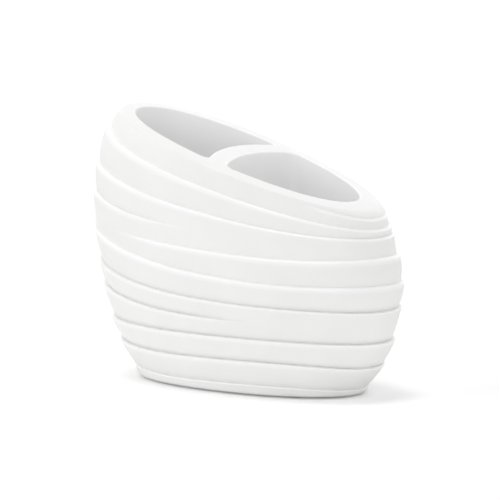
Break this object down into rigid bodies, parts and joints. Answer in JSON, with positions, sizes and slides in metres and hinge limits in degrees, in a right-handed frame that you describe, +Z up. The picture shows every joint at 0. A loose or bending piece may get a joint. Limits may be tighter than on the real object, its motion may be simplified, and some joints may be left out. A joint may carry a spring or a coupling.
{
  "type": "toothbrush holder",
  "caption": "Free-standing leaning oval holder with a sloping rim, wrapped ledges and two divided open pockets for toothbrushes and toothpaste.",
  "frame": {"origin": "on the resting surface, under the middle of the overall length and depth", "axes": "+X towards the low end of the sloping rim, -Y towards the front, +Z up out of the pockets"},
  "size_m": [0.1341, 0.0668, 0.1023],
  "materials": {
    "vessel": "matt cast resin, satin on the rim",
    "foot_pad": "soft translucent rubber"
  },
  "bodies": {
    "root": {"vessel": "vessel", "foot_pad_front_left": "foot_pad", "foot_pad_front_right": "foot_pad", "foot_pad_back_left": "foot_pad", "foot_pad_back_right": "foot_pad"}
  },
  "joints": []
}
